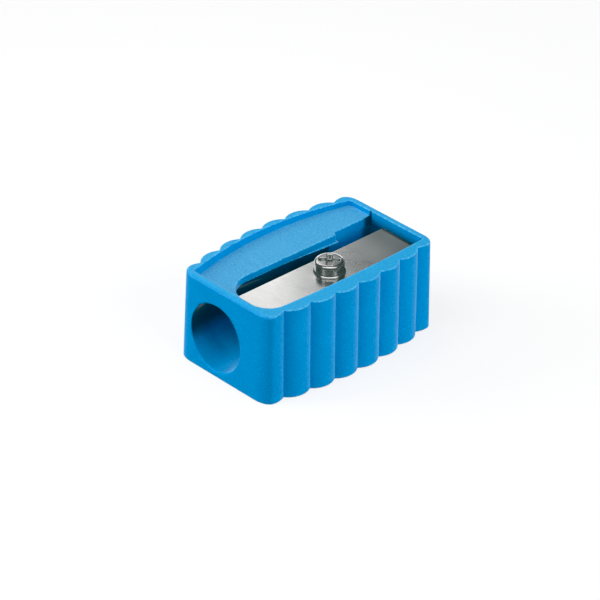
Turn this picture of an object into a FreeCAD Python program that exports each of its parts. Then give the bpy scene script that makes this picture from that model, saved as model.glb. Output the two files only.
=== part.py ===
import FreeCAD, Part
import math
import os

import Sketcher
from FreeCAD import Placement, Rotation, Vector

# Small hand-held block sharpener for one pencil: a moulded plastic housing with
# bowed, scalloped long sides, a flat steel blade and one cheese-head screw.
#
# Frame: +Z up, base on Z = 0, X along the housing, the pencil goes in at the -X
# end, and the thin rim runs along +Y.  Millimetres and degrees.
#
# The blade lies almost flat under the rim.  Its own frame (the cutter frame)
# has its origin where the screw's axis meets the blade seat, u along the blade,
# v across it towards the cutting edge and w out of the seat.  The pencil's cone
# climbs towards the rear by its own half angle, so that its top line lies along
# the cutting edge.

doc = FreeCAD.newDocument("block_sharpener")

SIZES = [
    # housing, outside
    ("rim_height", 11.2),        # base to rim
    ("half_length", 12.9),       # end faces at the rim
    ("side_draft", 0.26),        # each side is this much wider at the base
    ("valley_mid", 7.93),        # half width at the middle valley, at the rim
    ("bow_drop", 0.0104),        # the sides' bow: half width lost per mm squared
    ("lobe_pitch", 3.45),        # valley to valley
    ("lobe_radius", 2.585),      # each lobe's own radius
    ("end_lobe_x", 11.618),      # middle of the last, cut-off lobe, at the rim
    ("end_lobe_y", 4.5633),
    ("corner_radius", 1.1),      # from the last lobe round to the end face
    ("rim_break", 0.08),         # broken edge along the rim
    ("rim_break_drop", 0.1),
    ("base_break", 0.05),        # broken edge along the base
    ("base_break_rise", 0.06),
    # shallow recess in the top
    ("plateau_z", 10.32),        # its floor, half way along
    ("plateau_tilt", 1.02),      # the floor climbs towards the rear
    ("recess_front", -12.05),
    ("recess_rear", 12.17),
    ("recess_far_front", 5.98),
    ("recess_far_rear", 5.94),
    ("recess_far_radius", 43.2),
    ("recess_near_rear", -5.85),
    ("recess_near_front", -6.03),
    ("recess_near_radius", 178.0),
    ("recess_corner_x", -9.55),
    ("recess_corner_y", -3.53),
    ("recess_corner_radius", 2.5),
    ("recess_cut", 2.5),         # cut height, to past the rim
    # cutter frame
    ("screw_x", 1.1),
    ("screw_y", -2.15),
    ("seat_z", 9.126),
    ("skew", -1.6),
    ("tilt", 1.7),
    # blade pocket, in the cutter frame
    ("pocket_near", -3.14),
    ("pocket_front", -11.96),
    ("pocket_corner", 0.8),
    ("pocket_bend_u", -8.38),
    ("pocket_bend_v", 0.947),
    ("pocket_bend_radius", 3.58),
    ("lip_v", 4.54),
    ("lip_end_u", 5.06),
    ("rear_wall_u", 5.36),
    ("rear_wall_v", 5.07),
    ("rear_near_u", 11.15),
    ("rear_far_u", 10.92),
    ("pocket_cut", 3.6),
    # chip throat below the blade's cutting edge
    ("throat_front_u", -10.6),
    ("throat_near_v", 1.95),
    ("throat_near_u", 11.0),
    ("throat_depth", 1.7),
    # pencil hole
    ("pencil_radius", 4.0),
    ("half_angle", 11.5),
    ("axis_v", 3.03),
    ("apex_u", 7.02),
    ("apex_w", 0.52),
    ("lead_in", 5.0),            # straight part, measured past the front face
    # screw hole in the plastic
    ("bore_radius", 1.03),
    ("bore_depth", 6.6),
    # blade
    ("blade_front", -11.35),
    ("blade_rear", 10.85),
    ("blade_edge", 2.76),
    ("blade_back", -3.0),
    ("blade_thick", 0.5),
    ("blade_corner", 0.35),
    ("blade_hole", 1.15),
    ("bevel_width", 1.1),        # ground on the underside
    ("edge_land", 0.03),
    # screw
    ("head_radius", 1.87),
    ("head_height", 1.52),
    ("head_round", 0.36),
    ("shank_radius", 1.0),
    ("shank_length", 5.8),       # below the seat
    ("tip_drop", 0.4),
    ("tip_radius", 0.6),
    ("cross_half_length", 1.15),
    ("cross_half_width", 0.25),
    ("cross_depth", 0.75),
    ("cross_turn", 45.0),        # as the screw stands when it is tight
]
SHEET = "Sizes"
sheet = doc.addObject("Spreadsheet::Sheet", SHEET)
S = {}
for row, (alias, number) in enumerate(SIZES, start=1):
    sheet.set("A%d" % row, alias)
    sheet.set("B%d" % row, repr(number))
    sheet.setAlias("B%d" % row, alias)
    S[alias] = number
doc.recompute()


def cell(alias):
    return "%s.%s" % (SHEET, alias)


def origin_plane(body, role):
    for feature in body.Origin.OriginFeatures:
        if feature.Role == role:
            return feature
    raise RuntimeError("no plane " + role)


def new_sketch(body, name, role="XY_Plane"):
    sketch = body.newObject("Sketcher::SketchObject", name)
    sketch.AttachmentSupport = (origin_plane(body, role), [""])
    sketch.MapMode = "FlatFace"
    return sketch


def put(obj, prop, base=None, yaw=None, pitch=None, roll=None):
    """Bind a placement's parts to cells."""
    for axis, text in zip("xyz", base or (None, None, None)):
        if text is not None:
            obj.setExpression("%s.Base.%s" % (prop, axis), text)
    for part, text in (("Yaw", yaw), ("Pitch", pitch), ("Roll", roll)):
        if text is not None:
            obj.setExpression("%s.Rotation.%s" % (prop, part), text)


def in_cutter_frame(obj, prop):
    put(obj, prop, (cell("screw_x"), cell("screw_y"), cell("seat_z")),
        cell("skew"), "-" + cell("tilt"))


def bind(sketch, constraint, name, text):
    index = sketch.addConstraint(constraint)
    sketch.renameConstraint(index, name)
    sketch.setExpression("Constraints." + name, text)


def outline(sketch, points, radii):
    """A closed, counter-clockwise outline.

    points: (x, y, text for x, text for y).  radii: for the side that leaves
    each point, None for a straight one, or (radius, text), or a negative
    radius for an arc that bends inwards.
    """
    count = len(points)
    sides = []
    for i in range(count):
        a = Vector(points[i][0], points[i][1], 0)
        b = Vector(points[(i + 1) % count][0], points[(i + 1) % count][1], 0)
        if radii[i] is None:
            sides.append((sketch.addGeometry(Part.LineSegment(a, b), False), 1, 2))
            continue
        radius = abs(radii[i][0])
        chord = b - a
        middle = (a + b) * 0.5
        left = Vector(-chord.y, chord.x, 0).normalize()
        rise = math.sqrt(max(radius ** 2 - (chord.Length / 2) ** 2, 0.0))
        centre = middle + left * rise
        circle = Part.Circle(centre, Vector(0, 0, 1), radius)
        a0 = math.atan2(a.y - centre.y, a.x - centre.x)
        a1 = math.atan2(b.y - centre.y, b.x - centre.x)
        if a1 < a0:
            a1 += 2 * math.pi
        sides.append((sketch.addGeometry(Part.ArcOfCircle(circle, a0, a1), False), 1, 2))
    for i in range(count):
        here, following = sides[i], sides[(i + 1) % count]
        sketch.addConstraint(Sketcher.Constraint(
            "Coincident", here[0], here[2], following[0], following[1]))
    for i, (x, y, text_x, text_y) in enumerate(points):
        geo, start, _ = sides[i]
        bind(sketch, Sketcher.Constraint("DistanceX", -1, 1, geo, start, x),
             "x%d_pos" % i, text_x)
        bind(sketch, Sketcher.Constraint("DistanceY", -1, 1, geo, start, y),
             "y%d_pos" % i, text_y)
        if radii[i] is not None:
            bind(sketch, Sketcher.Constraint("Radius", geo, radii[i][0]),
                 "r%d_size" % i, radii[i][1])
    return [side[0] for side in sides]


def point(alias_x, alias_y, sign_x=1, sign_y=1):
    text_x = ("-" if sign_x < 0 else "") + cell(alias_x)
    text_y = ("-" if sign_y < 0 else "") + cell(alias_y)
    return (sign_x * S[alias_x], sign_y * S[alias_y], text_x, text_y)


def pocket(body, sketch, name, length_alias, upwards=False):
    before = body.Shape.Volume
    feature = body.newObject("PartDesign::Pocket", name)
    feature.Profile = sketch
    feature.Type = 0
    feature.Reversed = upwards
    feature.Length = S[length_alias]
    feature.setExpression("Length", cell(length_alias))
    doc.recompute()
    removed = before - body.Shape.Volume
    print("%s removed %.2f mm3" % (name, removed))
    if removed <= 0:
        raise RuntimeError(name + " cut nothing")
    return feature


# ---------------------------------------------------------------- housing
housing = doc.addObject("PartDesign::Body", "housing_body")
housing.Label = "housing"


def side_section(name, z, z_text, grow, grow_text):
    """The scalloped outline at one height, grown evenly by grow."""
    sketch = new_sketch(housing, name)
    sketch.AttachmentOffset = Placement(Vector(0, 0, z), Rotation())
    sketch.setExpression("AttachmentOffset.Base.z", z_text)

    def valley(i, side):
        x = i * S["lobe_pitch"]
        y = S["valley_mid"] - S["bow_drop"] * x * x + grow
        text = "(%s - %s * (%d * %s)^2 + %s)" % (
            cell("valley_mid"), cell("bow_drop"), i, cell("lobe_pitch"), grow_text)
        return (x, side * y, "%d * %s" % (i, cell("lobe_pitch")),
                ("-1 * " if side < 0 else "") + text)

    # the last lobe is cut off by the end face, with a round between the two
    span = S["lobe_radius"] - S["corner_radius"]
    over = S["half_length"] + grow - S["corner_radius"] - S["end_lobe_x"]
    side = math.sqrt(span ** 2 - over ** 2)
    end = S["half_length"] + grow
    end_y = S["end_lobe_y"] + grow + side
    touch = (S["end_lobe_x"] + S["lobe_radius"] * over / span,
             S["end_lobe_y"] + grow + S["lobe_radius"] * side / span)
    span_text = "(%s - %s)" % (cell("lobe_radius"), cell("corner_radius"))
    over_text = "(%s + %s - %s - %s)" % (
        cell("half_length"), grow_text, cell("corner_radius"), cell("end_lobe_x"))
    side_text = "sqrt(%s^2 - %s^2)" % (span_text, over_text)
    end_text = "(%s + %s)" % (cell("half_length"), grow_text)
    end_y_text = "(%s + %s + %s)" % (cell("end_lobe_y"), grow_text, side_text)
    touch_text = ("(%s + %s * %s / %s)" % (
        cell("end_lobe_x"), cell("lobe_radius"), over_text, span_text),
        "(%s + %s + %s * %s / %s)" % (
        cell("end_lobe_y"), grow_text, cell("lobe_radius"), side_text, span_text))

    def mirrored(place, text, sx, sy):
        return (sx * place[0], sy * place[1],
                ("-1 * " if sx < 0 else "") + text[0],
                ("-1 * " if sy < 0 else "") + text[1])

    def end_point(sx, sy):
        return mirrored((end, end_y), (end_text, end_y_text), sx, sy)

    def touch_point(sx, sy):
        return mirrored(touch, touch_text, sx, sy)

    lobe = (S["lobe_radius"], cell("lobe_radius"))
    round_corner = (S["corner_radius"], cell("corner_radius"))
    points, radii = [], []
    points += [end_point(1, -1), end_point(1, 1), touch_point(1, 1)]
    radii += [None, round_corner, lobe]
    for i in (3, 2, 1, 0, -1, -2, -3):
        points.append(valley(i, 1))
        radii.append(lobe)
    points += [touch_point(-1, 1), end_point(-1, 1), end_point(-1, -1), touch_point(-1, -1)]
    radii += [round_corner, None, round_corner, lobe]
    for i in (-3, -2, -1, 0, 1, 2, 3):
        points.append(valley(i, -1))
        radii.append(lobe)
    points.append(touch_point(1, -1))
    radii.append(round_corner)
    outline(sketch, points, radii)
    return sketch


draft = S["side_draft"]
height = S["rim_height"]
rise = S["base_break_rise"]
drop = S["rim_break_drop"]
section_base = side_section(
    "section_base", 0.0, "0", draft - S["base_break"],
    "(%s - %s)" % (cell("side_draft"), cell("base_break")))
section_low = side_section(
    "section_low", rise, cell("base_break_rise"), draft * (1 - rise / height),
    "(%s * (1 - %s / %s))" % (cell("side_draft"), cell("base_break_rise"), cell("rim_height")))
section_high = side_section(
    "section_high", height - drop, "%s - %s" % (cell("rim_height"), cell("rim_break_drop")),
    draft * drop / height,
    "(%s * %s / %s)" % (cell("side_draft"), cell("rim_break_drop"), cell("rim_height")))
section_rim = side_section(
    "section_rim", height, cell("rim_height"), -S["rim_break"],
    "(0 - %s)" % cell("rim_break"))
doc.recompute()

block = housing.newObject("PartDesign::AdditiveLoft", "block")
block.Profile = section_base
block.Sections = [section_low, section_high, section_rim]
block.Ruled = True
doc.recompute()
print("block %.1f mm3" % housing.Shape.Volume)

# The shallow recess leaves a rim all round, thinnest along the far side.
recess_sketch = new_sketch(housing, "recess_outline")
put(recess_sketch, "AttachmentOffset", (None, None, cell("plateau_z")),
    None, "-" + cell("plateau_tilt"))
corner_foot = (S["recess_corner_x"], S["recess_near_front"],
               cell("recess_corner_x"), cell("recess_near_front"))
outline(recess_sketch, [
    point("recess_rear", "recess_near_rear"),
    point("recess_rear", "recess_far_rear"),
    point("recess_front", "recess_far_front"),
    point("recess_front", "recess_corner_y"),
    corner_foot,
], [
    None,
    (S["recess_far_radius"], cell("recess_far_radius")),
    None,
    (S["recess_corner_radius"], cell("recess_corner_radius")),
    (S["recess_near_radius"], cell("recess_near_radius")),
])
doc.recompute()
pocket(housing, recess_sketch, "recess", "recess_cut", upwards=True)

# The blade's pocket, deeper than the recess.  Its far side is the lip over the
# chip throat, which steps back to a plain wall at the rear.
pocket_sketch = new_sketch(housing, "blade_pocket_outline")
in_cutter_frame(pocket_sketch, "AttachmentOffset")
front_corner_u = S["pocket_front"] + S["pocket_corner"]
front_corner_v = S["pocket_near"] + S["pocket_corner"]
outline(pocket_sketch, [
    point("rear_near_u", "pocket_near"),
    point("rear_far_u", "rear_wall_v"),
    point("rear_wall_u", "rear_wall_v"),
    point("lip_end_u", "lip_v"),
    point("pocket_bend_u", "lip_v"),
    point("pocket_front", "pocket_bend_v"),
    (S["pocket_front"], front_corner_v, cell("pocket_front"),
     "%s + %s" % (cell("pocket_near"), cell("pocket_corner"))),
    (front_corner_u, S["pocket_near"],
     "%s + %s" % (cell("pocket_front"), cell("pocket_corner")), cell("pocket_near")),
], [
    None, None, None, None,
    (S["pocket_bend_radius"], cell("pocket_bend_radius")),
    None,
    (S["pocket_corner"], cell("pocket_corner")),
    None,
])
doc.recompute()
pocket(housing, pocket_sketch, "blade_pocket", "pocket_cut", upwards=True)

# The throat takes the shavings past the cutting edge; it runs back under the lip.
throat_sketch = new_sketch(housing, "throat_outline")
in_cutter_frame(throat_sketch, "AttachmentOffset")
outline(throat_sketch, [
    point("throat_near_u", "throat_near_v"),
    point("rear_far_u", "rear_wall_v"),
    point("throat_front_u", "rear_wall_v"),
    point("throat_front_u", "throat_near_v"),
], [None, None, None, None])
doc.recompute()
pocket(housing, throat_sketch, "throat", "throat_depth")

# The pencil hole: a short straight lead-in, then the cone, turned about the
# hole's own axis.
cone_sketch = new_sketch(housing, "pencil_hole_profile")
put(cone_sketch, "AttachmentOffset",
    ("%s - %s * sin(%s)" % (cell("screw_x"), cell("axis_v"), cell("skew")),
     "%s + %s * cos(%s)" % (cell("screw_y"), cell("axis_v"), cell("skew")),
     cell("seat_z")),
    cell("skew"), "-" + cell("tilt"), "90")
angle = math.radians(S["half_angle"])
cone_length = S["pencil_radius"] / math.tan(angle)
slope_length = S["pencil_radius"] / math.sin(angle)
apex = Vector(S["apex_u"], S["apex_w"], 0)
along = Vector(math.cos(angle), math.sin(angle), 0)
up = Vector(-math.sin(angle), math.cos(angle), 0)
shoulder = apex - Vector(slope_length, 0, 0)
mouth = shoulder - along * S["lead_in"]
mouth_axis = mouth - up * S["pencil_radius"]
g0 = cone_sketch.addGeometry(Part.LineSegment(apex, shoulder), False)
g1 = cone_sketch.addGeometry(Part.LineSegment(shoulder, mouth), False)
g2 = cone_sketch.addGeometry(Part.LineSegment(mouth, mouth_axis), False)
g3 = cone_sketch.addGeometry(Part.LineSegment(mouth_axis, apex), False)
axis_line = cone_sketch.addGeometry(Part.LineSegment(mouth_axis, apex), True)
for a, b in ((g0, g1), (g1, g2), (g2, g3), (g3, g0)):
    cone_sketch.addConstraint(Sketcher.Constraint("Coincident", a, 2, b, 1))
cone_sketch.addConstraint(Sketcher.Constraint("Coincident", axis_line, 1, g3, 1))
cone_sketch.addConstraint(Sketcher.Constraint("Coincident", axis_line, 2, g3, 2))
cone_sketch.addConstraint(Sketcher.Constraint("Horizontal", g0))
cone_sketch.addConstraint(Sketcher.Constraint("Parallel", g1, g3))
cone_sketch.addConstraint(Sketcher.Constraint("Perpendicular", g2, g3))
bind(cone_sketch, Sketcher.Constraint("DistanceX", -1, 1, g0, 1, apex.x), "apex_u_pos", cell("apex_u"))
bind(cone_sketch, Sketcher.Constraint("DistanceY", -1, 1, g0, 1, apex.y), "apex_w_pos", cell("apex_w"))
bind(cone_sketch, Sketcher.Constraint("Distance", g0, slope_length), "slope_length",
     "%s / sin(%s)" % (cell("pencil_radius"), cell("half_angle")))
bind(cone_sketch, Sketcher.Constraint("Distance", g1, S["lead_in"]), "lead_in_length", cell("lead_in"))
bind(cone_sketch, Sketcher.Constraint("Distance", g2, S["pencil_radius"]), "hole_radius", cell("pencil_radius"))
doc.recompute()
before = housing.Shape.Volume
hole = housing.newObject("PartDesign::Groove", "pencil_hole")
hole.Profile = cone_sketch
hole.ReferenceAxis = (cone_sketch, ["Axis0"])
hole.Angle = 360.0
doc.recompute()
print("pencil_hole removed %.2f mm3" % (before - housing.Shape.Volume))
if before - housing.Shape.Volume <= 0:
    raise RuntimeError("pencil_hole cut nothing")

# Hole for the screw, square to the blade seat.
bore_sketch = new_sketch(housing, "screw_bore_outline")
in_cutter_frame(bore_sketch, "AttachmentOffset")
ring = bore_sketch.addGeometry(
    Part.Circle(Vector(0, 0, 0), Vector(0, 0, 1), S["bore_radius"]), False)
bore_sketch.addConstraint(Sketcher.Constraint("Coincident", ring, 3, -1, 1))
bind(bore_sketch, Sketcher.Constraint("Radius", ring, S["bore_radius"]), "bore_size", cell("bore_radius"))
doc.recompute()
pocket(housing, bore_sketch, "screw_bore", "bore_depth")

# ---------------------------------------------------------------- blade
blade = doc.addObject("PartDesign::Body", "blade_body")
blade.Label = "blade"
in_cutter_frame(blade, "Placement")
blade_sketch = new_sketch(blade, "blade_outline")


def corner_points(u_alias, v_alias, order, inward_u, inward_v):
    """The two ends of one rounded corner, in the order the outline meets them."""
    radius = S["blade_corner"]
    along_u = (S[u_alias] + inward_u * radius, S[v_alias],
               "%s + %d * %s" % (cell(u_alias), inward_u, cell("blade_corner")), cell(v_alias))
    along_v = (S[u_alias], S[v_alias] + inward_v * radius, cell(u_alias),
               "%s + %d * %s" % (cell(v_alias), inward_v, cell("blade_corner")))
    return [along_u, along_v] if order == "uv" else [along_v, along_u]


blade_points, blade_radii = [], []
corner = (S["blade_corner"], cell("blade_corner"))
blade_points += corner_points("blade_rear", "blade_back", "uv", -1, 1)
blade_radii += [corner, None]
blade_points += [point("blade_rear", "blade_edge"), point("blade_front", "blade_edge")]
blade_radii += [None, None]
blade_points += corner_points("blade_front", "blade_back", "vu", 1, 1)
blade_radii += [corner, None]
outline(blade_sketch, blade_points, blade_radii)
eye = blade_sketch.addGeometry(
    Part.Circle(Vector(0, 0, 0), Vector(0, 0, 1), S["blade_hole"]), False)
blade_sketch.addConstraint(Sketcher.Constraint("Coincident", eye, 3, -1, 1))
bind(blade_sketch, Sketcher.Constraint("Radius", eye, S["blade_hole"]), "eye_size", cell("blade_hole"))
doc.recompute()
plate = blade.newObject("PartDesign::Pad", "plate")
plate.Profile = blade_sketch
plate.Length = S["blade_thick"]
plate.setExpression("Length", cell("blade_thick"))
doc.recompute()

# Ground bevel on the underside, up to the cutting edge.
bevel_sketch = new_sketch(blade, "bevel_section", "YZ_Plane")
put(bevel_sketch, "AttachmentOffset", (None, None, cell("blade_rear") + " + 1"))
edge_v, thick, land = S["blade_edge"], S["blade_thick"], S["edge_land"]
b0 = bevel_sketch.addGeometry(Part.LineSegment(
    Vector(edge_v - S["bevel_width"], 0, 0), Vector(edge_v, 0, 0)), False)
b1 = bevel_sketch.addGeometry(Part.LineSegment(
    Vector(edge_v, 0, 0), Vector(edge_v, thick - land, 0)), False)
b2 = bevel_sketch.addGeometry(Part.LineSegment(
    Vector(edge_v, thick - land, 0), Vector(edge_v - S["bevel_width"], 0, 0)), False)
for a, b in ((b0, b1), (b1, b2), (b2, b0)):
    bevel_sketch.addConstraint(Sketcher.Constraint("Coincident", a, 2, b, 1))
bevel_sketch.addConstraint(Sketcher.Constraint("PointOnObject", b0, 1, -1))
bevel_sketch.addConstraint(Sketcher.Constraint("PointOnObject", b0, 2, -1))
bevel_sketch.addConstraint(Sketcher.Constraint("Vertical", b1))
bind(bevel_sketch, Sketcher.Constraint("DistanceX", -1, 1, b0, 2, edge_v), "edge_pos", cell("blade_edge"))
bind(bevel_sketch, Sketcher.Constraint("Distance", b0, S["bevel_width"]), "bevel_size", cell("bevel_width"))
bind(bevel_sketch, Sketcher.Constraint("Distance", b1, thick - land), "bevel_rise",
     "%s - %s" % (cell("blade_thick"), cell("edge_land")))
doc.recompute()
before = blade.Shape.Volume
bevel = blade.newObject("PartDesign::Pocket", "bevel")
bevel.Profile = bevel_sketch
bevel.Type = 0
bevel.Length = S["blade_rear"] - S["blade_front"] + 2
bevel.setExpression("Length", "%s - %s + 2" % (cell("blade_rear"), cell("blade_front")))
doc.recompute()
print("bevel removed %.2f mm3" % (before - blade.Shape.Volume))
if before - blade.Shape.Volume <= 0:
    raise RuntimeError("bevel cut nothing")

# ---------------------------------------------------------------- screw
screw = doc.addObject("PartDesign::Body", "blade_screw_body")
screw.Label = "blade_screw"
in_cutter_frame(screw, "Placement")
screw_sketch = new_sketch(screw, "screw_section", "XZ_Plane")
thick_text = cell("blade_thick")
top = S["blade_thick"] + S["head_height"]
top_text = "%s + %s" % (thick_text, cell("head_height"))
tip_text = "-1 * " + cell("shank_length")
outline(screw_sketch, [
    (0.0, -S["shank_length"], "0", tip_text),
    (S["tip_radius"], -S["shank_length"], cell("tip_radius"), tip_text),
    (S["shank_radius"], S["tip_drop"] - S["shank_length"], cell("shank_radius"),
     "%s - %s" % (cell("tip_drop"), cell("shank_length"))),
    (S["shank_radius"], S["blade_thick"], cell("shank_radius"), thick_text),
    (S["head_radius"], S["blade_thick"], cell("head_radius"), thick_text),
    (S["head_radius"], top - S["head_round"], cell("head_radius"),
     "%s - %s" % (top_text, cell("head_round"))),
    (S["head_radius"] - S["head_round"], top,
     "%s - %s" % (cell("head_radius"), cell("head_round")), top_text),
    (0.0, top, "0", top_text),
], [None, None, None, None, None,
    (S["head_round"], cell("head_round")), None, None])
doc.recompute()
turned = screw.newObject("PartDesign::Revolution", "turned")
turned.Profile = screw_sketch
turned.ReferenceAxis = (screw_sketch, ["V_Axis"])
turned.Angle = 360.0
doc.recompute()

# Cross slot in the head.
cross_sketch = new_sketch(screw, "cross_outline")
put(cross_sketch, "AttachmentOffset", (None, None, top_text), cell("cross_turn"))
arm, half = S["cross_half_length"], S["cross_half_width"]
ARM, HALF = cell("cross_half_length"), cell("cross_half_width")
cross = []
for sx, sy, long_axis in (
        (1, -1, "x"), (1, 1, "x"), (1, 1, "c"), (1, 1, "y"), (-1, 1, "y"), (-1, 1, "c"),
        (-1, 1, "x"), (-1, -1, "x"), (-1, -1, "c"), (-1, -1, "y"), (1, -1, "y"), (1, -1, "c")):
    px, tx = (arm, ARM) if long_axis == "x" else (half, HALF)
    py, ty = (arm, ARM) if long_axis == "y" else (half, HALF)
    cross.append((sx * px, sy * py,
                  ("-1 * " if sx < 0 else "") + tx, ("-1 * " if sy < 0 else "") + ty))
outline(cross_sketch, cross, [None] * len(cross))
doc.recompute()
pocket(screw, cross_sketch, "cross_slot", "cross_depth")

# ---------------------------------------------------------------- check, write
doc.recompute()
problems = []
for obj in doc.Objects:
    state = [word for word in obj.State if word in ("Invalid", "Error")]
    if state:
        problems.append("%s: %s" % (obj.Label, ", ".join(state)))
parts = [housing, blade, screw]
for obj in parts:
    shape = obj.Shape
    if shape.isNull() or not shape.isValid():
        problems.append(obj.Label + ": bad shape")
    elif len(shape.Solids) != 1:
        problems.append("%s: %d solids" % (obj.Label, len(shape.Solids)))
if problems:
    raise RuntimeError("; ".join(problems))

os.makedirs("parts", exist_ok=True)
for obj in parts:
    box = obj.Shape.BoundBox
    print("%s: %.2f mm3, x %.3f %.3f, y %.3f %.3f, z %.3f %.3f" % (
        obj.Label, obj.Shape.Volume, box.XMin, box.XMax, box.YMin, box.YMax, box.ZMin, box.ZMax))
    obj.Shape.exportStep("parts/%s.step" % obj.Label)
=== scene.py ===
import math

import bmesh
import bpy
import numpy as np
from mathutils import Matrix, Vector


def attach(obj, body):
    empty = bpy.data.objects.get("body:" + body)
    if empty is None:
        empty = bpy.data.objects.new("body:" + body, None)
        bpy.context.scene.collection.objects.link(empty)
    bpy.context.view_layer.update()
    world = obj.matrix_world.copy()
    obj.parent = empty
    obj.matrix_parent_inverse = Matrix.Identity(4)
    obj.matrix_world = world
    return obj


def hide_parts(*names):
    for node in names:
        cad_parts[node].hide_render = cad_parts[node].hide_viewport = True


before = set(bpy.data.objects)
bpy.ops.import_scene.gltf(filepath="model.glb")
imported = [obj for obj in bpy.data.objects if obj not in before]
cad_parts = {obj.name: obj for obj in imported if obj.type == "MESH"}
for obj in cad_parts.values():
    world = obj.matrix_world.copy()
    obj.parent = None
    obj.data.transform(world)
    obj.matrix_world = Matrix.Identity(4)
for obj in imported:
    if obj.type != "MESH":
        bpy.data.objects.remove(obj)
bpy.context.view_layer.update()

MM = 0.001

# Small block sharpener.  The shapes below are worked out in millimetres, in the
# part's own frame: base on Z = 0, X along the housing, pencil in at -X.


# ------------------------------------------------------------------ shape kit
# A solid is a function that is negative inside and close to the distance from
# its surface.  Solids are combined with rounded edges and turned into meshes.

def meet(a, b, r):
    """Common part of two solids, outer edge rounded by r."""
    if np.isscalar(r) and r <= 0:
        return np.maximum(a, b)
    return (np.minimum(-r, np.maximum(a, b))
            + np.sqrt(np.maximum(a + r, 0) ** 2 + np.maximum(b + r, 0) ** 2))


def join(a, b, r):
    """Two solids together, inner edge filled by r."""
    if r <= 0:
        return np.minimum(a, b)
    return (np.maximum(r, np.minimum(a, b))
            - np.sqrt(np.maximum(r - a, 0) ** 2 + np.maximum(r - b, 0) ** 2))


def steps(*runs):
    """Grid lines: (start, end, step) runs, end to end."""
    out = [np.array([runs[0][0]])]
    for start, end, step in runs:
        count = max(1, int(round((end - start) / step)))
        out.append(np.linspace(start, end, count + 1)[1:])
    return np.concatenate(out)


def gradient(f, p, h):
    g = np.empty_like(p)
    for axis in range(3):
        q = p.copy()
        q[:, axis] += h
        up = f(q[:, 0], q[:, 1], q[:, 2])
        q[:, axis] -= 2 * h
        g[:, axis] = (up - f(q[:, 0], q[:, 1], q[:, 2])) / (2 * h)
    return g


def unit(g):
    return g / np.maximum(np.linalg.norm(g, axis=1, keepdims=True), 1e-12)


def skin(f, xs, ys, zs):
    """Mesh of the surface f = 0: points and four-sided faces.  Each grid cell
    that the surface passes through gets one point, set where the planes that
    touch the surface there meet, so that edges stay crisp."""
    lines = (xs, ys, zs)
    shape = (len(xs), len(ys), len(zs))
    values = np.empty(shape)
    for i in range(0, shape[0], 16):
        gx, gy, gz = np.meshgrid(xs[i:i + 16], ys, zs, indexing="ij")
        values[i:i + 16] = f(gx.ravel(), gy.ravel(), gz.ravel()).reshape(gx.shape)
    inside = values < 0
    cells_y, cells_z = shape[1] - 1, shape[2] - 1
    loops, owners, places, normals = [], [], [], []
    for axis in range(3):
        low = [slice(None)] * 3
        high = [slice(None)] * 3
        low[axis], high[axis] = slice(0, -1), slice(1, None)
        at = np.argwhere(inside[tuple(low)] != inside[tuple(high)])
        end = at.copy()
        end[:, axis] += 1
        p0 = np.stack([lines[k][at[:, k]] for k in range(3)], 1)
        p1 = np.stack([lines[k][end[:, k]] for k in range(3)], 1)
        v0 = values[tuple(at.T)]
        v1 = values[tuple(end.T)]
        starts_inside = v0 < 0
        t0, t1 = np.zeros(len(at)), np.ones(len(at))
        for turn in range(7):
            t = (t0 * v1 - t1 * v0) / (v1 - v0)
            if turn % 3 == 2:
                t = 0.5 * (t0 + t1)
            p = p0 + (p1 - p0) * t[:, None]
            v = f(p[:, 0], p[:, 1], p[:, 2])
            same = (v < 0) == (v0 < 0)
            t0, v0 = np.where(same, t, t0), np.where(same, v, v0)
            t1, v1 = np.where(same, t1, t), np.where(same, v1, v)
        t = np.where(np.abs(v0) < np.abs(v1), t0, t1)
        p = p0 + (p1 - p0) * t[:, None]
        n = unit(gradient(f, p, 1e-4))
        a, b = (axis + 1) % 3, (axis + 2) % 3
        ring = []
        for da, db in ((-1, -1), (0, -1), (0, 0), (-1, 0)):
            cell = at.copy()
            cell[:, a] += da
            cell[:, b] += db
            ring.append((cell[:, 0] * cells_y + cell[:, 1]) * cells_z + cell[:, 2])
        ring = np.stack(ring, 1)
        ring[~starts_inside] = ring[~starts_inside][:, ::-1]
        loops.append(ring)
        owners.append(ring.ravel())
        places.append(np.repeat(p, 4, axis=0))
        normals.append(np.repeat(n, 4, axis=0))
    loops = np.concatenate(loops)
    owners = np.concatenate(owners)
    places = np.concatenate(places)
    normals = np.concatenate(normals)
    cells, index = np.unique(owners, return_inverse=True)
    faces = np.searchsorted(cells, loops)
    count = len(cells)

    def gather(weights):
        return np.bincount(index, weights, count)

    hits = gather(np.ones(len(index)))
    middle = np.stack([gather(places[:, k]) / hits for k in range(3)], 1)
    offset = np.einsum("ij,ij->i", normals, places - middle[index])
    ata = np.empty((count, 3, 3))
    atb = np.empty((count, 3))
    for i in range(3):
        atb[:, i] = gather(normals[:, i] * offset)
        for j in range(3):
            ata[:, i, j] = gather(normals[:, i] * normals[:, j])
    strength, along = np.linalg.eigh(ata)
    keep = strength > 0.08 * strength[:, -1:]
    inverse = np.where(keep, 1 / np.where(keep, strength, 1), 0)
    move = np.einsum("nij,nj,nkj,nk->ni", along, inverse, along, atb)
    points = middle + move
    ci = cells // (cells_y * cells_z)
    cj = (cells // cells_z) % cells_y
    ck = cells % cells_z
    low = np.stack([xs[ci], ys[cj], zs[ck]], 1)
    high = np.stack([xs[ci + 1], ys[cj + 1], zs[ck + 1]], 1)
    points = np.clip(points, low, high)
    for _ in range(2):
        g = gradient(f, points, 1e-3)
        size = np.maximum(np.einsum("ij,ij->i", g, g), 0.05)
        v = f(points[:, 0], points[:, 1], points[:, 2])
        points = points - g * np.clip(v / size, -0.05, 0.05)[:, None]
    return points, faces


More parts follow.
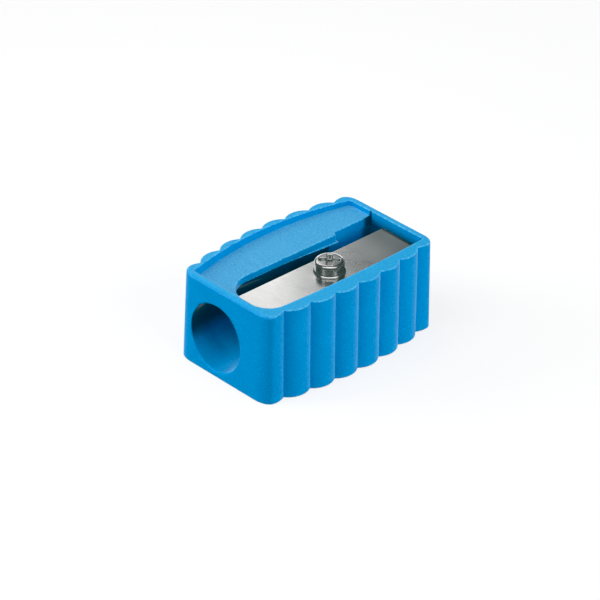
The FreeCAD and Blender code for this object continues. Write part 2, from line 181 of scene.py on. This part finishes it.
def new_object(name, points, faces, place=Matrix.Identity(4)):
    mesh = bpy.data.meshes.new(name)
    mesh.from_pydata((points * MM).tolist(), [], faces.tolist())
    mesh.transform(place)
    mesh.update()
    obj = bpy.data.objects.new(name, mesh)
    bpy.context.scene.collection.objects.link(obj)
    return obj


def smooth_with(obj, f, spread, matrix=None):
    """Smooth shading with the solid's own normals, and how far each point is
    on an outward (+) or inward (-) edge, kept with the mesh."""
    mesh = obj.data
    co = np.empty(len(mesh.vertices) * 3)
    mesh.vertices.foreach_get("co", co)
    p = co.reshape(-1, 3) / MM
    if matrix is not None:
        back = np.array(matrix.inverted())
        p = (p * MM) @ back[:3, :3].T / MM + back[:3, 3] / MM
    n = unit(gradient(f, p, 0.012))
    here = f(p[:, 0], p[:, 1], p[:, 2])
    bend = -6 * here
    for axis in range(3):
        for sign in (-1, 1):
            q = p.copy()
            q[:, axis] += sign * spread
            bend += f(q[:, 0], q[:, 1], q[:, 2])
    bend /= spread
    if matrix is not None:
        n = n @ np.array(matrix)[:3, :3].T
    mesh.polygons.foreach_set("use_smooth", np.ones(len(mesh.polygons), bool))
    attribute = mesh.attributes.new("edge", "FLOAT", "POINT")
    attribute.data.foreach_set("value", np.clip(bend, -2, 2).astype(np.float32))
    mesh.normals_split_custom_set_from_vertices(n.tolist())
    mesh.update()


# ------------------------------------------------------------------ housing
HEIGHT = 11.2
PITCH, LOBE = 3.45, 2.585
END, CORNER, DRAFT = 12.9, 1.1, 0.26
VALLEYS = [(i * PITCH, 7.93 - 0.0104 * (i * PITCH) ** 2) for i in range(-4, 5)]


def arc_centre(a, b, radius):
    """Centre of the arc from a to b, on the left of the way from a to b."""
    dx, dy = b[0] - a[0], b[1] - a[1]
    chord = math.hypot(dx, dy)
    rise = math.sqrt(radius ** 2 - (chord / 2) ** 2)
    return ((a[0] + b[0]) / 2 - dy / chord * rise, (a[1] + b[1]) / 2 + dx / chord * rise)


LOBES = [arc_centre(VALLEYS[i + 1], VALLEYS[i], LOBE) for i in range(8)]


def outline_of_block(x, y, grow):
    """Bowed, scalloped outline: six whole lobes along each side, and a part of
    one at each end, cut off by the end face and rounded there."""
    side = np.abs(y) - grow
    d = None
    for cx, cy in LOBES:
        lobe = np.sqrt((x - cx) ** 2 + (side - cy) ** 2) - LOBE
        d = lobe if d is None else join(d, lobe, 0.06)
    core = side - np.interp(x, [v[0] for v in VALLEYS], [v[1] for v in VALLEYS])
    return meet(np.minimum(d, core), np.abs(x) - (END + grow), CORNER)


SKEW, TILT = math.radians(-1.6), math.radians(1.7)
TO_CUTTER = (Matrix.Translation((1.1 * MM, -2.15 * MM, 9.126 * MM))
             @ Matrix.Rotation(SKEW, 4, "Z") @ Matrix.Rotation(-TILT, 4, "Y"))
_R = np.array(TO_CUTTER)[:3, :3]
_O = np.array((1.1, -2.15, 9.126))


def in_cutter(x, y, z):
    dx, dy, dz = x - _O[0], y - _O[1], z - _O[2]
    return (dx * _R[0, 0] + dy * _R[1, 0] + dz * _R[2, 0],
            dx * _R[0, 1] + dy * _R[1, 1] + dz * _R[2, 1],
            dx * _R[0, 2] + dy * _R[1, 2] + dz * _R[2, 2])


FAR = (12.2, 5.94), (-12.05, 5.98), 43.2
NEAR = (-9.55, -6.03), (12.2, -5.85), 178.0
FAR_C = arc_centre(*FAR)
NEAR_C = arc_centre(*NEAR)
PLATEAU_Z, PLATEAU_TILT = 10.32, math.radians(1.02)
REAR_WALL = 12.17


def recess(x, y, z):
    """Shallow recess in the top, its floor climbing a little to the rear."""
    c, s = math.cos(PLATEAU_TILT), math.sin(PLATEAU_TILT)
    dz = z - PLATEAU_Z
    px, pz = x * c + dz * s, -x * s + dz * c
    far = np.sqrt((px - FAR_C[0]) ** 2 + (y - FAR_C[1]) ** 2) - FAR[2]
    near = np.sqrt((px - NEAR_C[0]) ** 2 + (y - NEAR_C[1]) ** 2) - NEAR[2]
    d = meet(meet(far, x - REAR_WALL, 0.35), meet(near, -12.05 - px, 0.0), 0.12)
    bend = np.sqrt((px + 9.55) ** 2 + (y + 3.53) ** 2) - 2.5
    d = np.maximum(d, np.where((px < -9.55) & (y < -3.53), bend, -9.0))
    return meet(d, -pz, 0.1)


def pocket_outline(u, v):
    far = np.minimum(v - 4.54, np.maximum(
        v - 5.07, (-0.53 * (u - 5.06) + 0.30 * (v - 4.54)) / 0.609))
    d = np.maximum(far, np.maximum(-3.14 - v, -11.96 - u))
    big = np.sqrt((u + 8.38) ** 2 + (v - 0.947) ** 2) - 3.58
    d = np.maximum(d, np.where((u < -8.38) & (v > 0.947), big, -9.0))
    small = np.sqrt((u + 11.16) ** 2 + (v + 2.34) ** 2) - 0.8
    return np.maximum(d, np.where((u < -11.16) & (v < -2.34), small, -9.0))


HALF = math.radians(11.5)


def lip_underside(u):
    """Height of the lip's lower edge over the blade's seat: the lip is thinner
    towards the front."""
    return np.interp(u, [-9.0, -3.0, 2.0, 4.9, 5.3], [0.46, 0.41, 0.20, 0.05, 0.02])


def cavities(x, y, z):
    u, v, w = in_cutter(x, y, z)
    pocket = np.maximum(np.maximum(pocket_outline(u, v), x - REAR_WALL), -w)
    ends = np.maximum(x - REAR_WALL, -10.6 - u)
    deep = np.maximum(ends, -1.7 - w)
    roof = w - lip_underside(u)
    throat = np.minimum(
        np.maximum(deep, np.maximum(np.maximum(1.95 - v, v - 5.07), roof)),
        np.maximum(deep, np.maximum(np.maximum(1.95 - v, v - 4.4), w - 0.3)))
    bead = lip_underside(u) + 0.07
    bead = np.maximum(np.abs(w - bead) - 0.07, np.maximum(
        4.54 - 0.15 * np.clip((u + 2.0) / 5.0, 0, 1) - v, np.maximum(u - 5.4, v - 5.0)))
    du, dv, dw = u - 7.02, v - 3.03, w - 0.52
    along = -(du * math.cos(HALF) + dw * math.sin(HALF))
    across = np.sqrt((-du * math.sin(HALF) + dw * math.cos(HALF)) ** 2 + dv ** 2)
    cone = np.maximum(across * math.cos(HALF) - along * math.sin(HALF), across - 4.0)
    bore = np.maximum(np.sqrt(u * u + v * v) - 1.03, np.maximum(w - 0.2, -6.6 - w))
    d = np.minimum(np.where(x < REAR_WALL - 0.4, join(recess(x, y, z), pocket, 0.11),
                            np.minimum(recess(x, y, z), pocket)), throat)
    d = np.maximum(np.minimum(d, cone), -bead)
    return np.minimum(d, bore)


def housing_solid(x, y, z):
    block = outline_of_block(x, y, DRAFT * (1 - z / HEIGHT))
    front = np.clip((-11.4 - x) / 1.3, 0, 1)
    block = meet(block, z - HEIGHT, 0.12 + 0.33 * front * front * (3 - 2 * front))
    block = meet(block, -z, 0.07)
    return meet(block, -cavities(x, y, z), 0.1)


points, faces = skin(
    housing_solid,
    steps((-13.5, -11.4, 0.105), (-11.4, 11.4, 0.136), (11.4, 13.5, 0.105)),
    steps((-9.0, -5.0, 0.1), (-5.0, 1.6, 0.15), (1.6, 3.4, 0.11), (3.4, 5.2, 0.15), (5.2, 9.0, 0.1)),
    steps((-0.21, 0.45, 0.11), (0.45, 8.3, 0.3), (8.3, 8.9, 0.2), (8.9, 9.9, 0.08), (9.9, 11.42, 0.08)))

# The flat base is one face with the hole-free outline of its inner part.
flat = points[:, 2] < 1e-3
inner = outline_of_block(points[:, 0], points[:, 1], np.full(len(points), DRAFT)) < -0.75
plain = (flat & inner)[faces].all(1)
faces = faces[~plain]
housing = new_object("housing_shell", points, faces)
bm = bmesh.new()
bm.from_mesh(housing.data)
open_edges = [e for e in bm.edges if e.is_boundary]
bmesh.ops.contextual_create(bm, geom=open_edges)
bmesh.ops.delete(bm, geom=[v for v in bm.verts if not v.link_faces], context="VERTS")
bmesh.ops.recalc_face_normals(bm, faces=bm.faces[:])
bm.to_mesh(housing.data)
bm.free()
smooth_with(housing, housing_solid, 0.14)


def painted_shade_on_housing(x, y, z):
    """Painted shade: darkening of the plastic's colour in the throat under the lip, in the upper
    half of the hole, at the foot of the pocket's walls, on the rear end wall and in the far rear corner."""
    def rise(a, low, high):
        t = np.clip((a - low) / (high - low), 0, 1)
        return t * t * (3 - 2 * t)

    u, v, w = in_cutter(x, y, z)
    du, dv, dw = u - 7.02, v - 3.03, w - 0.52
    along = -(du * math.cos(HALF) + dw * math.sin(HALF))
    above = -du * math.sin(HALF) + dw * math.cos(HALF)
    across = np.sqrt(above ** 2 + dv ** 2)
    in_hole = (np.abs(across - np.minimum(along * math.tan(HALF), 4.0)) < 0.06) & (along > 0) & (x > -13.1)
    # painted shade on the upper half of the hole's wall
    hole = np.where(in_hole, 0.23 + (0.66 + 0.11 * np.clip(-1.5 * dv / np.maximum(across, 1e-6), 0, 1))
                    * rise(above / np.maximum(across, 1e-6), -0.62, -0.06), 0)
    hole *= rise(x, -13.1, -12.9)
    below = (v > 1.9) & (v < 5.2) & (u > -10.8) & (x < REAR_WALL + 0.1) & (w > -1.8)
    # painted shade in the throat under the lip, and again towards the rear corner
    throat = np.where(below & ~in_hole, 0.86 * rise(lip_underside(u) - w, 0.0, 0.12)
                      * (1 - rise(u, 4.2, 5.1) + 0.85 * rise(u, 9.0, 10.3)), 0)
    # painted shade, darker towards the foot of the walls
    foot = np.clip((1.25 - w) / 1.25, 0, 1)
    wall = (v > -3.3) & (v < 5.2) & (u > -9.0) & (x < REAR_WALL + 0.1) & (w > -0.1) & ((v < -2.9) | (v > 4.9) | (x > REAR_WALL - 0.1))
    foot *= np.where(v > 4.9, 0.05, np.where(v < -2.9, 0.7, 0.6))
    # painted shadow of the rear wall on the far wall, widening downwards
    corner = np.where(v > 4.9, 1.0 * rise(u, 9.5, 10.6) * np.clip((2.2 - w) / 1.2, 0, 1), 0)
    # the rear end wall gets extra painted shade
    walls = np.where(wall, np.maximum(foot, corner) + np.where(x > REAR_WALL - 0.1, 0.22, 0), 0)
    return np.maximum(np.maximum(hole, throat), walls)


co = np.empty(len(housing.data.vertices) * 3)
housing.data.vertices.foreach_get("co", co)
co = co.reshape(-1, 3) / MM
# painted shade, kept as a point attribute that darkens the plastic's colour
painted_shade = housing.data.attributes.new("painted_shade", "FLOAT", "POINT")
painted_shade.data.foreach_set("value", painted_shade_on_housing(co[:, 0], co[:, 1], co[:, 2]).astype(np.float32))


def painted_sheen_on_housing(x, y, z):
    """Painted sheen: the recess floor's colour is paler than the sides, and the rim's top a little brighter, where the
    faces look up.
    """
    c, s = math.cos(PLATEAU_TILT), math.sin(PLATEAU_TILT)
    on_floor = np.abs(-x * s + (z - PLATEAU_Z) * c) < 0.035
    up = gradient(housing_solid, np.stack([x, y, z], 1), 0.012)[:, 2]
    return np.where((up > 0.85) & on_floor, 1.0, 0.0), np.where((up > 0.75) & (z > HEIGHT - 0.10), 1.0, 0.0)


# painted sheen on the recess floor and on the rim's top, kept as point attributes
for name, amount in zip(("painted_sheen", "rim"), painted_sheen_on_housing(co[:, 0], co[:, 1], co[:, 2])):
    housing.data.attributes.new(name, "FLOAT", "POINT").data.foreach_set("value", amount.astype(np.float32))
# the painted edge highlight and wear is mostly taken off the edge of the pencil hole
edge_highlight_and_wear = np.empty(len(co), np.float32)
housing.data.attributes["edge"].data.foreach_get("value", edge_highlight_and_wear)
mouth = (co[:, 0] < -12.4) & (np.hypot(co[:, 1] - 1.28, (co[:, 2] - 4.87) * 0.98) < 4.4)
edge_highlight_and_wear[mouth] *= 0.15
housing.data.attributes["edge"].data.foreach_set("value", edge_highlight_and_wear)
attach(housing, "housing")
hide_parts("housing")
housing.visible_glossy = False


# ------------------------------------------------------------------ blade
# Flat steel strip in the cutter frame: u along, v towards the cutting edge.
FRONT, REAR, EDGE, BACK, THICK = -11.35, 10.85, 2.76, -3.0, 0.5


def blade_mesh():
    bm = bmesh.new()
    r = 0.35
    loop = []
    for cu, cv, a0 in ((FRONT + r, BACK + r, 180), (REAR - r, BACK + r, 270)):
        for k in range(9):
            a = math.radians(a0 + 90 * k / 8)
            loop.append((cu + r * math.cos(a), cv + r * math.sin(a)))
    loop += [(REAR, EDGE), (FRONT, EDGE)]
    ring = [(1.15 * math.cos(2 * math.pi * k / 72), 1.15 * math.sin(2 * math.pi * k / 72))
            for k in range(72)]
    edges = []
    for line in (loop, ring):
        vs = [bm.verts.new((u, v, 0.0)) for u, v in line]
        edges += [bm.edges.new((vs[i], vs[(i + 1) % len(vs)])) for i in range(len(vs))]
    bmesh.ops.triangle_fill(bm, use_beauty=True, use_dissolve=False, edges=edges)
    bmesh.ops.dissolve_limit(bm, angle_limit=0.001, verts=bm.verts[:], edges=[
        e for e in bm.edges if len(e.link_faces) == 2])
    for f in bm.faces:
        if f.normal.z < 0:
            f.normal_flip()
    raised = bmesh.ops.extrude_face_region(bm, geom=bm.faces[:])
    bmesh.ops.translate(bm, vec=(0, 0, THICK), verts=[
        g for g in raised["geom"] if isinstance(g, bmesh.types.BMVert)])
    bmesh.ops.recalc_face_normals(bm, faces=bm.faces[:])

    def shave(co, no):
        cut = bmesh.ops.bisect_plane(
            bm, geom=bm.verts[:] + bm.edges[:] + bm.faces[:], dist=1e-5,
            plane_co=co, plane_no=no, clear_outer=True)
        rim = [g for g in cut["geom_cut"] if isinstance(g, bmesh.types.BMEdge) and g.is_boundary]
        bmesh.ops.contextual_create(bm, geom=rim)

    # ground underside up to the edge, then the fine honed line on top of it
    rise = THICK - 0.03
    shave((0, EDGE - 1.1, 0), (0, rise, -1.1))
    shave((0, EDGE - 0.12, THICK), (0, math.sin(math.radians(3)), math.cos(math.radians(3))))
    # tiny broken edges all round the top
    top = [e for e in bm.edges if len(e.link_faces) == 2
           and all(abs(v.co.z - THICK) < 1e-4 for v in e.verts)
           and e.calc_face_angle(0) > 0.6]
    bmesh.ops.bevel(bm, geom=top, offset=0.045, offset_type="OFFSET", segments=2,
                    profile=0.6, affect="EDGES")
    for u in np.arange(FRONT + 0.7, REAR - 0.3, 0.7):
        bmesh.ops.bisect_plane(bm, geom=bm.verts[:] + bm.edges[:] + bm.faces[:], dist=1e-5,
                               plane_co=(u, 0, 0), plane_no=(1, 0, 0))
    bmesh.ops.triangulate(bm, faces=[f for f in bm.faces if len(f.verts) > 4])
    bmesh.ops.recalc_face_normals(bm, faces=bm.faces[:])
    uv = bm.loops.layers.uv.new("UVMap")
    for f in bm.faces:
        for corner in f.loops:
            corner[uv].uv = (corner.vert.co.x / 24 + 0.5, corner.vert.co.y / 24 + 0.5)
    for v in bm.verts:
        v.co *= MM
    mesh = bpy.data.meshes.new("blade_strip")
    bm.to_mesh(mesh)
    bm.free()
    mesh.transform(TO_CUTTER)
    return mesh


blade = bpy.data.objects.new("blade_strip", blade_mesh())
bpy.context.scene.collection.objects.link(blade)
blade.data.polygons.foreach_set("use_smooth", np.ones(len(blade.data.polygons), bool))
blade.data.set_sharp_from_angle(angle=math.radians(3))
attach(blade, "blade")
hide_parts("blade")


# ------------------------------------------------------------------ screw
def screw_solid(u, v, w):
    q = np.sqrt(u * u + v * v)
    crown = w - (2.02 - q * q / 60.0)
    head = meet(q - 1.72, crown, 0.34)
    skirt = np.maximum(q - 1.86, (q - 1.86 + w - 0.62) * 0.7071)
    head = join(head, skirt, 0.05)
    head = meet(head, 0.5 - w, 0.05)
    turn = np.arctan2(v, u) / (2 * math.pi)
    wave = np.abs(((w / 0.4 - turn) % 1.0) - 0.5) * 2
    thread = q - 1.0 + 0.17 * np.clip(1.35 * wave - 0.12, 0, 1)
    plain = q - 0.94
    shank = np.where(w > -0.15, plain, thread * 0.8)
    tip = (q - 0.6 - (w + 5.8)) * 0.7071
    shank = np.maximum(np.maximum(shank, tip), np.maximum(-5.8 - w, w - 0.9))
    a, b = (u + v) * math.sqrt(0.5), (v - u) * math.sqrt(0.5)
    depth = 2.02 - w
    wide = 0.36 - 0.34 * depth
    reach = 1.22 - 0.66 * depth
    arm = np.minimum(meet(np.abs(a) - reach, np.abs(b) - wide, 0.08),
                     meet(np.abs(b) - reach, np.abs(a) - wide, 0.08))
    well = np.sqrt(a * a + b * b) - (0.52 - 0.3 * depth)
    cross = np.maximum(join(arm, well, 0.12), depth - 0.55)
    solid = join(head, shank, 0.05)
    return meet(solid, -cross, 0.06)


points, faces = skin(
    screw_solid,
    steps((-1.96, 1.96, 0.049)), steps((-1.96, 1.96, 0.049)),
    steps((-5.9, 0.3, 0.05), (0.3, 2.1, 0.045)))
screw = new_object("screw_turned", points, faces, TO_CUTTER)
smooth_with(screw, screw_solid, 0.05, TO_CUTTER)
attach(screw, "blade_screw")
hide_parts("blade_screw")


# ------------------------------------------------------------------ materials
def new_material(name):
    material = bpy.data.materials.new(name)
    material.use_nodes = True
    tree = material.node_tree
    shader = tree.nodes["Principled BSDF"]
    return material, tree.nodes, tree.links, shader


def noise(nodes, links, coords, scale, detail=2.0, rough=0.5):
    node = nodes.new("ShaderNodeTexNoise")
    node.inputs["Scale"].default_value = scale
    node.inputs["Detail"].default_value = detail
    node.inputs["Roughness"].default_value = rough
    links.new(coords, node.inputs["Vector"])
    return node.outputs["Fac"]


def ramp(nodes, links, value, stops):
    node = nodes.new("ShaderNodeValToRGB")
    while len(node.color_ramp.elements) < len(stops):
        node.color_ramp.elements.new(0.5)
    for element, (place, colour) in zip(node.color_ramp.elements, stops):
        element.position = place
        element.color = colour
    links.new(value, node.inputs["Fac"])
    return node.outputs["Color"]


def span(nodes, links, value, low, high, to_low, to_high):
    node = nodes.new("ShaderNodeMapRange")
    node.inputs["From Min"].default_value = low
    node.inputs["From Max"].default_value = high
    node.inputs["To Min"].default_value = to_low
    node.inputs["To Max"].default_value = to_high
    links.new(value, node.inputs["Value"])
    node.interpolation_type = "SMOOTHSTEP"
    return node.outputs["Result"]


def blend(nodes, links, factor, a, b, mode="MIX"):
    node = nodes.new("ShaderNodeMix")
    node.data_type = "RGBA"
    node.blend_type = mode
    for socket, value in ((node.inputs["Factor"], factor), (node.inputs[6], a), (node.inputs[7], b)):
        if isinstance(value, (int, float)):
            socket.default_value = value
        elif isinstance(value, tuple):
            socket.default_value = value
        else:
            links.new(value, socket)
    return node.outputs[2]


def bump(nodes, links, height, strength, distance, normal=None):
    node = nodes.new("ShaderNodeBump")
    node.inputs["Strength"].default_value = strength
    node.inputs["Distance"].default_value = distance
    links.new(height, node.inputs["Height"])
    if normal is not None:
        links.new(normal, node.inputs["Normal"])
    return node.outputs["Normal"]


# Moulded plastic: a fine spark-eroded grain and slightly uneven colour, with painted light in
# the colour: painted sheen on top, painted highlight and wear on edges, painted shade in the hollows.
plastic, nodes, links, shader = new_material("moulded_plastic")
coords = nodes.new("ShaderNodeTexCoord").outputs["Object"]
fine = noise(nodes, links, coords, 6500.0, 2.0, 0.6)
grain = noise(nodes, links, coords, 3400.0, 2.0, 0.6)
cloud = noise(nodes, links, coords, 220.0, 3.0, 0.5)
body = ramp(nodes, links, cloud, [
    (0.30, (0.000, 0.284, 0.672, 1)), (0.70, (0.000, 0.310, 0.715, 1))])
speck = ramp(nodes, links, fine, [
    (0.30, (0.84, 0.86, 0.88, 1)), (0.70, (1.0, 1.0, 1.0, 1))])
body = blend(nodes, links, 1.0, body, speck, "MULTIPLY")
body = blend(nodes, links, span(nodes, links, fine, 0.48, 0.72, 0.0, 0.30), body, (0.08, 0.44, 0.84, 1))
# painted sheen: the recess floor's colour made paler in patches
painted_sheen = nodes.new("ShaderNodeAttribute")
painted_sheen.attribute_name = "painted_sheen"
patchy = span(nodes, links, fine, 0.32, 0.68, 0.25, 1.15)
body = blend(nodes, links, blend(nodes, links, 1.0, painted_sheen.outputs["Fac"], patchy, "MULTIPLY"), body, (0.077, 0.398, 0.690, 1))
# painted sheen: the rim's top made a little brighter in patches
rim = nodes.new("ShaderNodeAttribute")
rim.attribute_name = "rim"
body = blend(nodes, links, blend(nodes, links, 1.0, rim.outputs["Fac"], patchy, "MULTIPLY"), body, (0.014, 0.375, 0.720, 1))
edge = nodes.new("ShaderNodeAttribute")
edge.attribute_name = "edge"
# painted highlight with a little wear: convex edges made paler in spots
edge_highlight_and_wear = span(nodes, links, edge.outputs["Fac"], 0.15, 1.0, 0.0, 0.85)
spotty = span(nodes, links, grain, 0.40, 0.62, 0.2, 1.0)
edge_highlight_and_wear_spots = blend(nodes, links, 1.0, edge_highlight_and_wear, spotty, "MULTIPLY")
body = blend(nodes, links, edge_highlight_and_wear_spots, body, (0.15, 0.54, 0.86, 1))
# painted shade: the plastic's colour darkened towards a deep navy where the attribute says
painted_shade = nodes.new("ShaderNodeAttribute")
painted_shade.attribute_name = "painted_shade"
body = blend(nodes, links, span(nodes, links, painted_shade.outputs["Fac"], 0.0, 1.0, 0.0, 0.96), body, (0.006, 0.025, 0.068, 1))
links.new(body, shader.inputs["Base Color"])
links.new(span(nodes, links, grain, 0.3, 0.7, 0.42, 0.58), shader.inputs["Roughness"])
shader.inputs["IOR"].default_value = 1.46
shader.inputs["Specular IOR Level"].default_value = 0.4
normal = bump(nodes, links, grain, 0.45, 0.00006)
normal = bump(nodes, links, fine, 0.4, 0.00003, normal)
links.new(normal, shader.inputs["Normal"])
housing.data.materials.append(plastic)

# Rolled and ground strip steel, brushed along its length, with a painted reflection: tone lowered towards the front
# end, the rear part painted darker and less metallic and a near-black strip near the rear end.
steel, nodes, links, shader = new_material("brushed_steel")
tex = nodes.new("ShaderNodeTexCoord")
stretch = nodes.new("ShaderNodeMapping")
stretch.inputs["Scale"].default_value = (14.0, 1.0, 1.0)
links.new(tex.outputs["UV"], stretch.inputs["Vector"])
streak = noise(nodes, links, stretch.outputs["Vector"], 16.0, 3.0, 0.6)
mottle = noise(nodes, links, tex.outputs["UV"], 14.0, 3.0, 0.5)
tone = ramp(nodes, links, streak, [
    (0.25, (0.62, 0.62, 0.61, 1)), (0.75, (0.71, 0.71, 0.70, 1))])
place = nodes.new("ShaderNodeSeparateXYZ")
links.new(tex.outputs["UV"], place.inputs[0])
# painted reflection: the rear part darker and less metallic
painted_dark_rear = span(nodes, links, place.outputs["X"], 0.54, 0.90, 0.0, 1.0)
# painted reflection: tone lowered towards the front end
front = ramp(nodes, links, place.outputs["X"], [
    (0.05, (0.74, 0.74, 0.74, 1)), (0.42, (1.0, 1.0, 1.0, 1))])
tone = blend(nodes, links, 1.0, tone, front, "MULTIPLY")
tone = blend(nodes, links, painted_dark_rear, tone, (0.22, 0.22, 0.215, 1))
# painted dark reflection of the gap at the rear wall, a near-black strip near the rear end
tone = blend(nodes, links, span(nodes, links, place.outputs["X"], 0.930, 0.948, 0.0, 1.0), tone, (0.02, 0.02, 0.02, 1))
links.new(tone, shader.inputs["Base Color"])
links.new(span(nodes, links, painted_dark_rear, 0.0, 1.0, 1.0, 0.25), shader.inputs["Metallic"])
links.new(span(nodes, links, mottle, 0.3, 0.7, 0.18, 0.21), shader.inputs["Roughness"])
shader.inputs["Anisotropic"].default_value = 0.35
tangent = nodes.new("ShaderNodeTangent")
tangent.direction_type = "UV_MAP"
tangent.uv_map = "UVMap"
links.new(tangent.outputs["Tangent"], shader.inputs["Tangent"])
links.new(bump(nodes, links, streak, 0.04, 0.00001), shader.inputs["Normal"])
blade.data.materials.append(steel)

# Bright plating on the screw, with painted shade in the cross: a darker tone in its concave places.
plating, nodes, links, shader = new_material("bright_plating")
coords = nodes.new("ShaderNodeTexCoord").outputs["Object"]
mottle = noise(nodes, links, coords, 1500.0, 3.0, 0.5)
tone = ramp(nodes, links, mottle, [
    (0.3, (0.43, 0.43, 0.42, 1)), (0.7, (0.51, 0.51, 0.50, 1))])
edge = nodes.new("ShaderNodeAttribute")
edge.attribute_name = "edge"
# painted shade: darker tone in the concave parts of the cross
painted_hollow_shade = span(nodes, links, edge.outputs["Fac"], -0.2, -0.9, 0.0, 0.6)
tone = blend(nodes, links, painted_hollow_shade, tone, (0.40, 0.40, 0.39, 1))
links.new(tone, shader.inputs["Base Color"])
shader.inputs["Metallic"].default_value = 1.0
links.new(span(nodes, links, mottle, 0.3, 0.7, 0.13, 0.19), shader.inputs["Roughness"])
links.new(bump(nodes, links, mottle, 0.04, 0.00002), shader.inputs["Normal"])
screw.data.materials.append(plating)


# ------------------------------------------------------------------ stage
bpy.ops.mesh.primitive_plane_add(size=3.0, location=(0, 0, -0.00002))
floor = bpy.context.object
floor.name = "floor"
paper, nodes, links, shader = new_material("white_paper")
shader.inputs["Base Color"].default_value = (0.26, 0.26, 0.26, 1)
shader.inputs["Roughness"].default_value = 0.9
shader.inputs["Specular IOR Level"].default_value = 0.0
shader.inputs["Emission Color"].default_value = (1, 1, 1, 1)
shader.inputs["Emission Strength"].default_value = 0.76
floor.data.materials.append(paper)
floor.visible_glossy = False
floor.visible_diffuse = False

# A white backdrop behind the object in a room that is dark on the camera's side.
scene = bpy.context.scene
world = bpy.data.worlds.new("studio")
scene.world = world
world.use_nodes = True
nodes, links = world.node_tree.nodes, world.node_tree.links
direction = nodes.new("ShaderNodeTexCoord").outputs["Generated"]
behind = nodes.new("ShaderNodeVectorMath")
behind.operation = "DOT_PRODUCT"
behind.inputs[1].default_value = (0.70, 0.714, 0.0)
links.new(direction, behind.inputs[0])
split = nodes.new("ShaderNodeSeparateXYZ")
links.new(direction, split.inputs[0])
wall = ramp(nodes, links, behind.outputs["Value"], [
    (0.10, (0.15, 0.15, 0.15, 1)), (0.75, (0.09, 0.09, 0.09, 1))])
sweep = ramp(nodes, links, behind.outputs["Value"], [
    (0.45, (0.20, 0.20, 0.20, 1)), (0.80, (1.4, 1.4, 1.4, 1))])
links.new(blend(nodes, links, span(nodes, links, split.outputs["Z"], -0.1, 0.05, 0.0, 1.0),
                sweep, wall), nodes["Background"].inputs["Color"])
nodes["Background"].inputs["Strength"].default_value = 1.0
world.cycles_visibility.diffuse = False


def soft_light(name, place, aim, size, watts, size_y=None, gloss=False):
    data = bpy.data.lights.new(name, "AREA")
    data.shape = "RECTANGLE"
    data.size = size
    data.size_y = size_y or size
    data.energy = watts
    obj = bpy.data.objects.new(name, data)
    obj.location = place
    obj.rotation_euler = (Vector(aim) - Vector(place)).to_track_quat("-Z", "Y").to_euler()
    obj.visible_camera = False
    obj.visible_glossy = gloss
    scene.collection.objects.link(obj)
    return obj


def around(azimuth, elevation):
    a, e = math.radians(azimuth), math.radians(elevation)
    return (0.5 * math.cos(e) * math.cos(a), 0.5 * math.cos(e) * math.sin(a), 0.5 * math.sin(e) + 0.006)


# Soft boxes round the object: two low ones on the right, two on the left, one
# at the rear, a weak one overhead, the light that comes back from the table and
# a weak bluish fill from the front.  The card and the strip are for the steel,
# the sheen behind is for the plastic and the edges light is for rounded edges.
MIDDLE = (0, 0, 0.006)
soft_light("right_low", around(-90, 27), MIDDLE, 0.3, 1.28)
soft_light("right_rear", around(-44.5, 8), MIDDLE, 0.3, 1.3)
soft_light("left_rear", around(135.5, 18), MIDDLE, 0.3, 1.88)
soft_light("left_high", around(165.5, 54), MIDDLE, 0.3, 1.02)
soft_light("rear", around(0.5, 30), MIDDLE, 0.3, 0.25)
soft_light("overhead", (-0.08, -0.08, 0.50), MIDDLE, 0.22, 0.18, gloss=True)
soft_light("table", (0, 0, 0.0001), (0, 0, 1), 0.6, 0.33)
soft_light("card", (0.0098, 0.050, 0.058), (-0.0042, -0.002, 0.0095), 0.06, 0.0088, 0.04, gloss=True)
soft_light("strip", (0.019, 0.050, 0.058), (-0.0042, -0.002, 0.0095), 0.06, 0.0027, 0.04, gloss=True).visible_diffuse = False
soft_light("fill", around(225.5, 12), MIDDLE, 0.3, 0.27).data.color = (0.2, 0.55, 1.0)
soft_light("sheen", around(45.5, 8), MIDDLE, 0.3, 0.5, gloss=True).visible_diffuse = False
soft_light("edges", around(225.5, 58), MIDDLE, 0.9, 1.5, 0.3, gloss=True).visible_diffuse = False

# camera
right = Vector((0.72399, -0.68940, 0.02387))
up = Vector((0.35083, 0.39779, 0.84774))
back = Vector((-0.59393, -0.60538, 0.52986))
ahead = (-back + right * (-8.63 / 3080.4) + up * (38.53 / 3080.4)).normalized()
right = (right - ahead * right.dot(ahead)).normalized()
up = right.cross(ahead)
camera = bpy.data.objects.new("camera", bpy.data.cameras.new("camera"))
camera.data.sensor_width = 36.0
camera.data.lens = 184.8
camera.data.clip_start, camera.data.clip_end = 0.01, 10.0
camera.matrix_world = Matrix((
    (right.x, up.x, -ahead.x, -0.20867),
    (right.y, up.y, -ahead.y, -0.21292),
    (right.z, up.z, -ahead.z, 0.18636),
    (0, 0, 0, 1)))
scene.collection.objects.link(camera)
scene.camera = camera
scene.view_settings.view_transform = "Standard"
scene.view_settings.use_curve_mapping = True
scene.view_settings.curve_mapping.black_level = (0.021, 0.0, 0.0)
scene.view_settings.curve_mapping.update()
